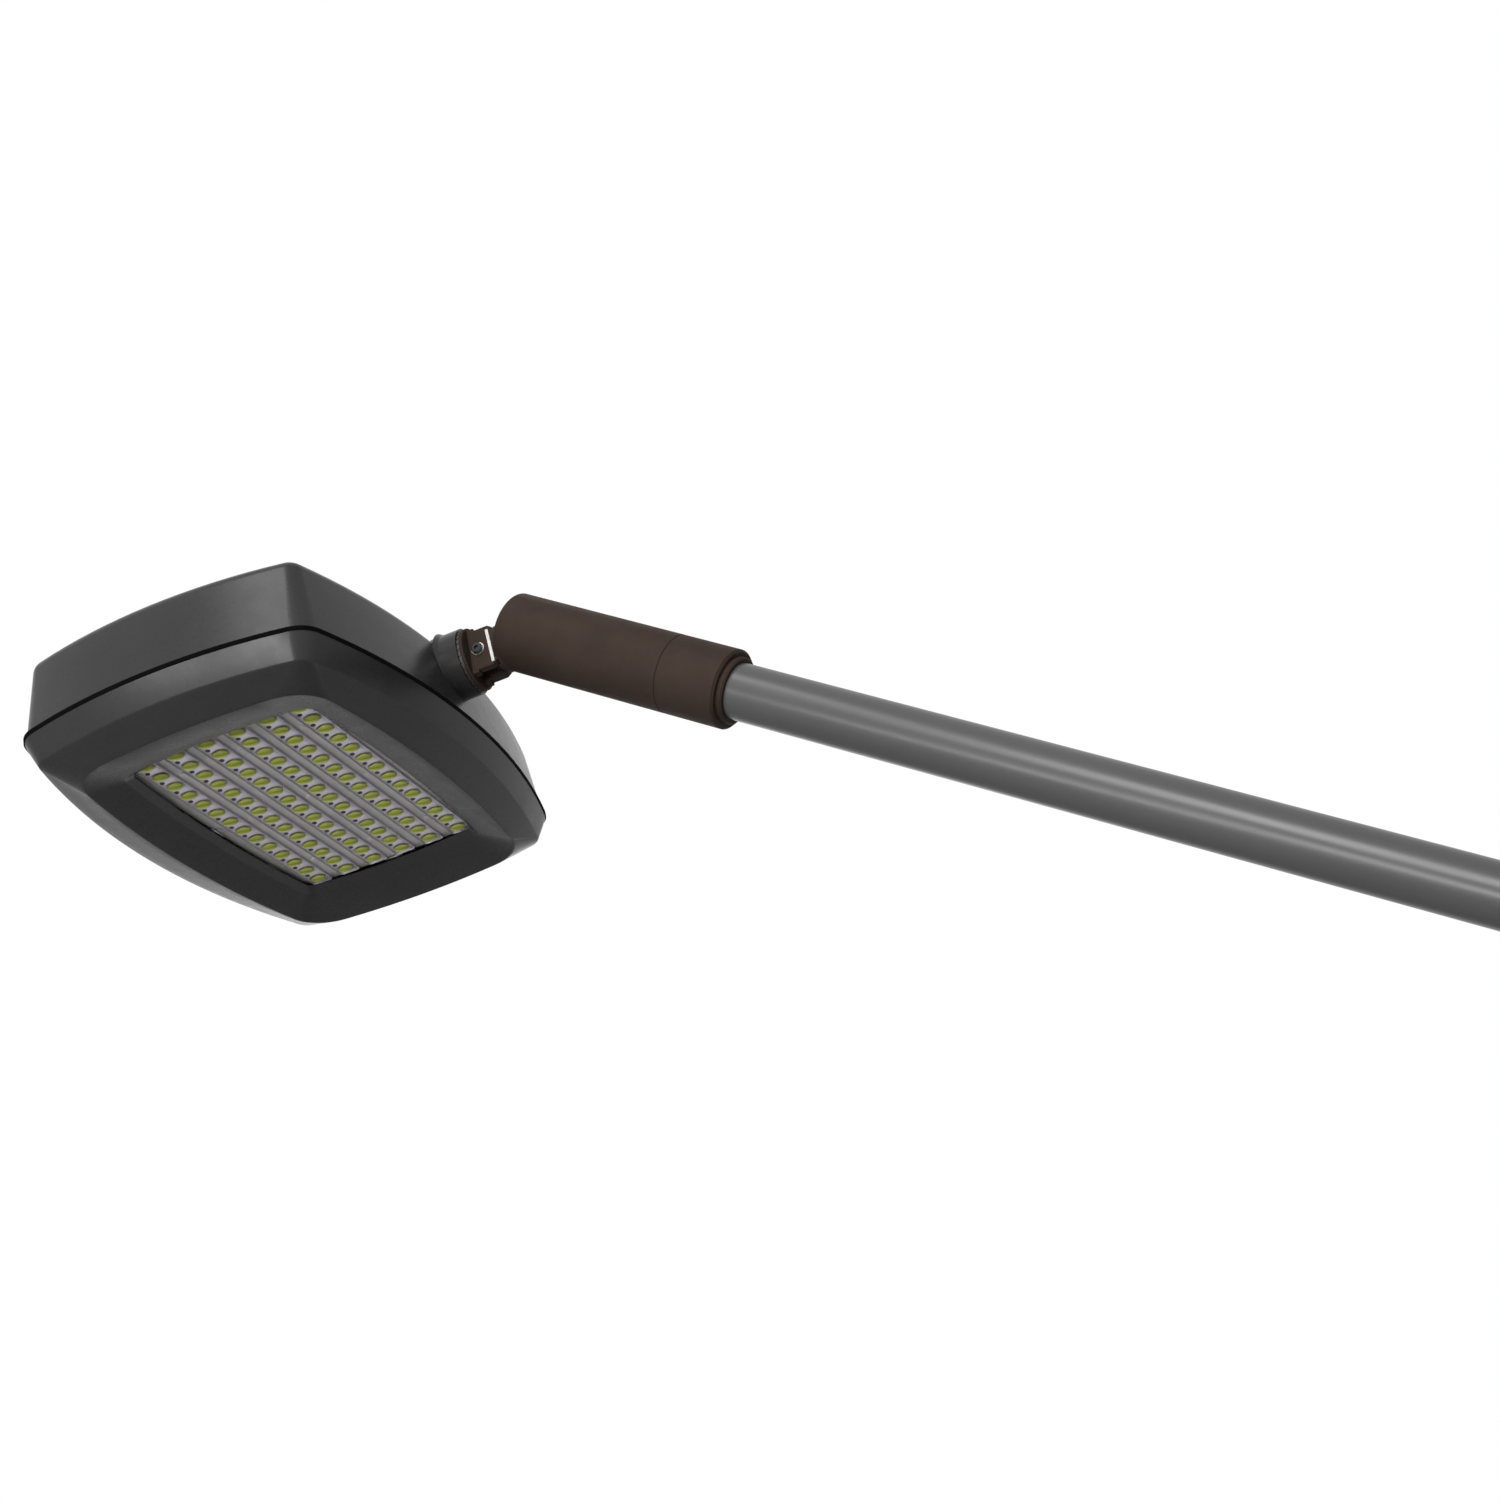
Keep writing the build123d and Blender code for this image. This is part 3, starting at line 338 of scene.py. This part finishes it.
# Window: one flat pane of clear tempered glass, with a faint film of dust.
window_glass = new_finish("window_glass", (1.0, 1.0, 1.0), 0.02, specular=0.5)
glass_nodes = window_glass.node_tree.nodes
glass_links = window_glass.node_tree.links
glass_nodes["Principled BSDF"].inputs["Transmission Weight"].default_value = 1.0
glass_nodes["Principled BSDF"].inputs["IOR"].default_value = 1.1
vary_gloss(window_glass, add_noise(window_glass, 0.05), 0.0, 0.03)
glass_light_path = glass_nodes.new("ShaderNodeLightPath")
glass_clear = glass_nodes.new("ShaderNodeBsdfTransparent")
glass_mix = glass_nodes.new("ShaderNodeMixShader")
glass_straight = glass_nodes.new("ShaderNodeMath")
glass_straight.operation = "MAXIMUM"
glass_links.new(glass_light_path.outputs["Is Shadow Ray"], glass_straight.inputs[0])
glass_links.new(glass_light_path.outputs["Is Diffuse Ray"], glass_straight.inputs[1])
glass_links.new(glass_straight.outputs[0], glass_mix.inputs[0])
glass_links.new(glass_nodes["Principled BSDF"].outputs[0], glass_mix.inputs[1])
glass_links.new(glass_clear.outputs[0], glass_mix.inputs[2])
glass_links.new(glass_mix.outputs[0], glass_nodes["Material Output"].inputs["Surface"])
dress("cover_glass", window_glass)


# LED board: aluminium-core circuit board under a satin grey-white solder mask, with the
# screws that hold it, painted like it.
board_mask = new_finish("board_mask", (0.36, 0.36, 0.35), 0.5, specular=0.2)
vary_colour(board_mask, add_noise(board_mask, 0.03), (0.33, 0.33, 0.32), (0.39, 0.39, 0.38))
vary_gloss(board_mask, add_noise(board_mask, 0.004), 0.42, 0.58)
add_bumps(board_mask, add_noise(board_mask, 0.0012), 0.00003, 0.5)
dress("led_board", board_mask)
dress("board_screws", board_mask)


# LED packages: small ceramic squares with yellow phosphor on them, soldered to the board
# under the lens domes.
phosphor = new_finish("phosphor", (0.62, 0.55, 0.04), 0.5)
vary_colour(phosphor, add_noise(phosphor, 0.0008), (0.55, 0.48, 0.03), (0.68, 0.62, 0.06))
add_bumps(phosphor, add_noise(phosphor, 0.0003), 0.00002, 0.5)
dress("led_packages", phosphor)


# Optic strips: one moulded milky strip over each column of LEDs, with a round dish at each LED.
# A soft radius runs round every dish. Painted shade darkens each strip toward its long sides and in its
# dish floors.
head_place = Matrix.Translation((0.944, 0, -0.0286)) @ Matrix.Rotation(radians(36), 4, "Y")
window_middle = Vector((0.1859, 0, 0))
board_face = -0.0689
column_pitch = 0.0294
row_pitch = 0.0212
column_count = 6
row_count = 14


def only(piece):
    """Selects one piece and nothing else."""
    bpy.ops.object.select_all(action="DESELECT")
    piece.select_set(True)
    bpy.context.view_layer.objects.active = piece


def apply_modifiers(piece):
    only(piece)
    for modifier in list(piece.modifiers):
        bpy.ops.object.modifier_apply(modifier=modifier.name)


def settle(piece, place):
    """Moves a finished piece by a placing matrix and leaves its object at the origin."""
    only(piece)
    piece.matrix_world = place @ piece.matrix_world
    bpy.ops.object.transform_apply(location=True, rotation=True, scale=True)


def twin(piece):
    """A copy of a piece, with a mesh of its own."""
    copy = piece.copy()
    copy.data = piece.data.copy()
    bpy.context.collection.objects.link(copy)
    return copy


def join_pieces(pieces):
    """Joins pieces into the first one and puts their places into its mesh."""
    bpy.ops.object.select_all(action="DESELECT")
    for piece in pieces:
        piece.select_set(True)
    bpy.context.view_layer.objects.active = pieces[0]
    bpy.ops.object.join()
    bpy.ops.object.transform_apply(location=True, rotation=True, scale=True)
    return bpy.context.object


def pick_edges(piece, wanted):
    """Goes to edit mode with only those edges selected whose two ends pass a test."""
    bpy.ops.object.mode_set(mode="EDIT")
    bpy.ops.mesh.select_all(action="DESELECT")
    bpy.ops.object.mode_set(mode="OBJECT")
    for edge in piece.data.edges:
        edge.select = wanted(*[piece.data.vertices[index].co for index in edge.vertices])
    bpy.ops.object.mode_set(mode="EDIT")


def row_places():
    return [(row - (row_count - 1) / 2) * row_pitch for row in range(row_count)]


def column_places():
    return [(column - (column_count - 1) / 2) * column_pitch for column in range(column_count)]


strip_width = 0.0200
strip_length = 0.2940
strip_height = 0.0018
strip_floor = 0.0006
strip_corner = 0.003
strip_edge = 0.001
strip_rounding = 0.00035
dish_mouth = 0.0086
dish_floor = 0.0074
dish_squash = 0.8
dish_shade_depth = 0.0009
touching = 0.0001
strip_front = board_face - strip_height
dish_depth = strip_height - strip_floor

bpy.ops.object.select_all(action="DESELECT")
bpy.ops.mesh.primitive_cube_add(size=1, location=(0, 0, board_face - strip_height / 2))
strip = bpy.context.object
strip.name = "optic_strip"
strip.scale = (strip_width, strip_length, strip_height)
bpy.ops.object.transform_apply(location=True, rotation=True, scale=True)
pick_edges(strip, lambda start, end: abs(start.z - end.z) > strip_height / 2)
bpy.ops.mesh.bevel(offset=strip_corner, segments=6)
bpy.ops.object.mode_set(mode="OBJECT")
pick_edges(strip, lambda start, end: max(start.z, end.z) < strip_front + touching)
bpy.ops.mesh.bevel(offset=strip_edge, segments=3)
bpy.ops.object.mode_set(mode="OBJECT")
cutters = []
for y in row_places():
    bpy.ops.mesh.primitive_cone_add(
        vertices=40,
        radius1=dish_mouth + (dish_mouth - dish_floor),
        radius2=dish_floor,
        depth=2 * dish_depth,
        location=(0, y, board_face - strip_floor - dish_depth),
    )
    cutters.append(bpy.context.object)
    cutters[-1].scale.y = dish_squash
dish_cutter = join_pieces(cutters)
cut = strip.modifiers.new("dishes", "BOOLEAN")
cut.operation = "DIFFERENCE"
cut.object = dish_cutter
cut.solver = "EXACT"
apply_modifiers(strip)
bpy.data.objects.remove(dish_cutter)
rounding = strip.modifiers.new("rounding", "BEVEL")
rounding.width = strip_rounding
rounding.segments = 2
rounding.limit_method = "ANGLE"
rounding.angle_limit = radians(35)
apply_modifiers(strip)
only(strip)
bpy.ops.object.shade_smooth_by_angle(angle=radians(30))

strip_map = strip.data.uv_layers.new(name="strip_map")
for loop in strip.data.loops:
    corner = strip.data.vertices[loop.vertex_index].co
    strip_map.data[loop.index].uv = (2 * corner.x / strip_width, corner.y / strip_length)

optic_milk = new_finish("optic_milk", (0.62, 0.59, 0.68), 0.3, specular=0.4)
optic_milk.node_tree.nodes["Principled BSDF"].inputs["Coat Weight"].default_value = 0.3
milk_nodes = optic_milk.node_tree.nodes
milk_links = optic_milk.node_tree.links
milk_map = milk_nodes.new("ShaderNodeUVMap")
milk_map.uv_map = "strip_map"
milk_parts = milk_nodes.new("ShaderNodeSeparateXYZ")
milk_links.new(milk_map.outputs["UV"], milk_parts.inputs[0])
# Painted shade: the strip's colour goes from pale in its middle to dark grey at its long sides, with a
# little random drift.
milk_across = milk_nodes.new("ShaderNodeMath")
milk_across.operation = "ABSOLUTE"
milk_links.new(milk_parts.outputs["X"], milk_across.inputs[0])
milk_cloud_and_side_shade = milk_nodes.new("ShaderNodeMath")
milk_cloud_and_side_shade.operation = "MULTIPLY_ADD"
milk_cloud_and_side_shade.inputs[1].default_value = 0.5
milk_links.new(add_noise(optic_milk, 0.005), milk_cloud_and_side_shade.inputs[0])
milk_links.new(milk_across.outputs[0], milk_cloud_and_side_shade.inputs[2])
milk_side_shade_ramp = milk_nodes.new("ShaderNodeValToRGB")
milk_side_shade_ramp.color_ramp.elements[0].position = 0.55
milk_side_shade_ramp.color_ramp.elements[0].color = (0.66, 0.63, 0.73, 1)
milk_side_shade_ramp.color_ramp.elements[1].position = 1.0
milk_side_shade_ramp.color_ramp.elements[1].color = (0.36, 0.34, 0.38, 1)
milk_links.new(milk_cloud_and_side_shade.outputs[0], milk_side_shade_ramp.inputs["Fac"])
milk_links.new(milk_side_shade_ramp.outputs["Color"], milk_nodes["Principled BSDF"].inputs["Base Color"])
add_bumps(optic_milk, add_noise(optic_milk, 0.002), 0.00003, 0.4)
strip.data.materials.append(optic_milk)
# Painted shade: the floors of the dishes get this darker finish, as the shade in each hollow.
dish_shade = new_finish("dish_shade", (0.24, 0.22, 0.28), 0.35)
vary_colour(dish_shade, add_noise(dish_shade, 0.003), (0.21, 0.19, 0.25), (0.27, 0.25, 0.31))
add_bumps(dish_shade, add_noise(dish_shade, 0.001), 0.00002, 0.4)
strip.data.materials.append(dish_shade)
for polygon in strip.data.polygons:
    low = strip_front + dish_shade_depth < polygon.center.z < board_face - touching
    inside = abs(polygon.center.y) < strip_length / 2 - strip_edge
    if low and inside and abs(polygon.center.x) < dish_mouth:
        polygon.material_index = 1
optic_strips = [strip] + [twin(strip) for _ in range(1, column_count)]
for index, (piece, x) in enumerate(zip(optic_strips, column_places())):
    piece.name = f"optic_strip_{index + 1}"
    settle(piece, head_place @ Matrix.Translation(window_middle + Vector((x, 0, 0))))
    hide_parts("lens_strips")
    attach(piece, "head")


# Lens domes: a low silicone dome in each dish, olive yellow from the phosphor under it,
# with painted shade and light across it: darkest olive a little to one side of the middle, pale
# yellow-green on the other side.
dome_radius = 0.0073
dome_height = 0.0020
dome_floor = board_face - strip_floor
lens_shade_way = (0.19, -0.46, 0)

bpy.ops.object.select_all(action="DESELECT")
bpy.ops.mesh.primitive_uv_sphere_add(segments=28, ring_count=16, radius=dome_radius, location=(0, 0, 0))
dome = bpy.context.object
dome.name = "lens_dome"
bpy.ops.object.mode_set(mode="EDIT")
bpy.ops.mesh.select_all(action="SELECT")
bpy.ops.mesh.bisect(plane_co=(0, 0, 0), plane_no=(0, 0, 1), clear_outer=True, use_fill=False)
bpy.ops.mesh.select_all(action="SELECT")
bpy.ops.transform.resize(value=(1, dish_squash, dome_height / dome_radius))
bpy.ops.object.mode_set(mode="OBJECT")
dome_map = dome.data.uv_layers.new(name="dome_map")
for loop in dome.data.loops:
    corner = dome.data.vertices[loop.vertex_index].co
    dome_map.data[loop.index].uv = (corner.x / dome_radius, corner.y / dome_radius / dish_squash)
only(dome)
bpy.ops.object.shade_smooth()

lens_olive = new_finish("lens_olive", (0.45, 0.48, 0.06), 0.35, specular=0.2)
lens_nodes = lens_olive.node_tree.nodes
lens_links = lens_olive.node_tree.links
lens_map = lens_nodes.new("ShaderNodeUVMap")
lens_map.uv_map = "dome_map"
# Painted shade and light: the colour runs across the dome along lens_shade_way, from dark olive on one side
# to pale yellow-green on the other.
lens_across = lens_nodes.new("ShaderNodeVectorMath")
lens_across.operation = "DOT_PRODUCT"
lens_across.inputs[1].default_value = lens_shade_way
lens_links.new(lens_map.outputs["UV"], lens_across.inputs[0])
lens_step = lens_nodes.new("ShaderNodeMath")
lens_step.inputs[1].default_value = 0.5
lens_links.new(lens_across.outputs["Value"], lens_step.inputs[0])
lens_shade_ramp = lens_nodes.new("ShaderNodeValToRGB")
lens_shade_ramp.color_ramp.elements[0].position = 0.12
lens_shade_ramp.color_ramp.elements[0].color = (0.27, 0.29, 0.07, 1)
lens_shade_ramp.color_ramp.elements[1].position = 0.95
lens_shade_ramp.color_ramp.elements[1].color = (0.74, 0.82, 0.16, 1)
lens_stop = lens_shade_ramp.color_ramp.elements.new(0.42)
lens_stop.color = (0.17, 0.20, 0.004, 1)
lens_links.new(lens_step.outputs[0], lens_shade_ramp.inputs["Fac"])
lens_links.new(lens_shade_ramp.outputs["Color"], lens_nodes["Principled BSDF"].inputs["Base Color"])
add_bumps(lens_olive, add_noise(lens_olive, 0.002), 0.00002, 0.3)
dome.data.materials.append(lens_olive)
column_domes = [dome] + [twin(dome) for _ in range(1, row_count)]
for copy, y in zip(column_domes, row_places()):
    copy.location = (0, y, dome_floor)
dome_column = join_pieces(column_domes)
dome_columns = [dome_column] + [twin(dome_column) for _ in range(1, column_count)]
for index, (piece, x) in enumerate(zip(dome_columns, column_places())):
    piece.name = f"lens_domes_{index + 1}"
    settle(piece, head_place @ Matrix.Translation(window_middle + Vector((x, 0, 0))))
    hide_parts("lens_strips")
    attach(piece, "head")


# Strip pins: dark plastic pins between the LEDs of a column, whose melted heads hold the
# strip to the board.
pin_across = 0.0056
pin_along = -0.0108
pin_radius = 0.0021
pin_head = 0.0008
pin_rim = 0.0004
pin_dip = 0.0002

bpy.ops.object.select_all(action="DESELECT")
bpy.ops.mesh.primitive_cylinder_add(vertices=16, radius=pin_radius, depth=pin_head, location=(0, 0, 0))
pin = bpy.context.object
pin.name = "strip_pin"
bpy.ops.object.mode_set(mode="EDIT")
bpy.ops.mesh.select_all(action="DESELECT")
bpy.ops.object.mode_set(mode="OBJECT")
for polygon in pin.data.polygons:
    polygon.select = polygon.normal.z < -0.9
bpy.ops.object.mode_set(mode="EDIT")
bpy.ops.mesh.inset(thickness=pin_rim, depth=-pin_dip)
bpy.ops.object.mode_set(mode="OBJECT")
pin_plastic = new_finish("pin_plastic", (0.014, 0.014, 0.02), 0.5, specular=0.2)
add_bumps(pin_plastic, add_noise(pin_plastic, 0.0005), 0.00003, 0.5)
vary_gloss(pin_plastic, add_noise(pin_plastic, 0.001), 0.4, 0.6)
pin.data.materials.append(pin_plastic)
pins = []
for x in column_places():
    for y in row_places()[1:]:
        copy = twin(pin)
        copy.location = (x + pin_across, y + pin_along, strip_front)
        pins.append(copy)
bpy.data.objects.remove(pin)
pin_group = join_pieces(pins)
pin_group.name = "strip_pins"
settle(pin_group, head_place @ Matrix.Translation(window_middle))
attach(pin_group, "head")


# Heat spreader: bare milled aluminium plate behind the board, which carries its heat to
# the housing. The driver's tray is zinc plated sheet.
milled_aluminium = new_finish("milled_aluminium", (0.72, 0.72, 0.73), 0.32, metallic=1.0)
vary_gloss(milled_aluminium, add_noise(milled_aluminium, 0.001, (1, 0.05, 1)), 0.25, 0.42)
add_bumps(milled_aluminium, add_noise(milled_aluminium, 0.0006, (1, 0.04, 1)), 0.00001, 0.6)
dress("heat_spreader", milled_aluminium)
dress("driver_tray", zinc_plate)


# Driver: anodised aluminium case. The surge protector is a potted red-brown case, and the
# terminal block is moulded in pale grey plastic.
driver_case = new_finish("driver_case", (0.45, 0.45, 0.46), 0.35, metallic=0.9)
vary_gloss(driver_case, add_noise(driver_case, 0.002), 0.3, 0.42)
add_bumps(driver_case, add_noise(driver_case, 0.0006, (1, 0.1, 1)), 0.00001, 0.5)
dress("led_driver", driver_case)
surge_case = new_finish("surge_case", (0.30, 0.035, 0.015), 0.5)
vary_colour(surge_case, add_noise(surge_case, 0.01), (0.26, 0.03, 0.012), (0.34, 0.04, 0.018))
add_bumps(surge_case, add_noise(surge_case, 0.0008), 0.00003, 0.5)
dress("surge_protector", surge_case)
terminal_plastic = new_finish("terminal_plastic", (0.58, 0.58, 0.56), 0.55)
vary_colour(terminal_plastic, add_noise(terminal_plastic, 0.008), (0.54, 0.54, 0.52), (0.62, 0.62, 0.6))
add_bumps(terminal_plastic, add_noise(terminal_plastic, 0.0008), 0.00003, 0.4)
dress("terminal_block", terminal_plastic)
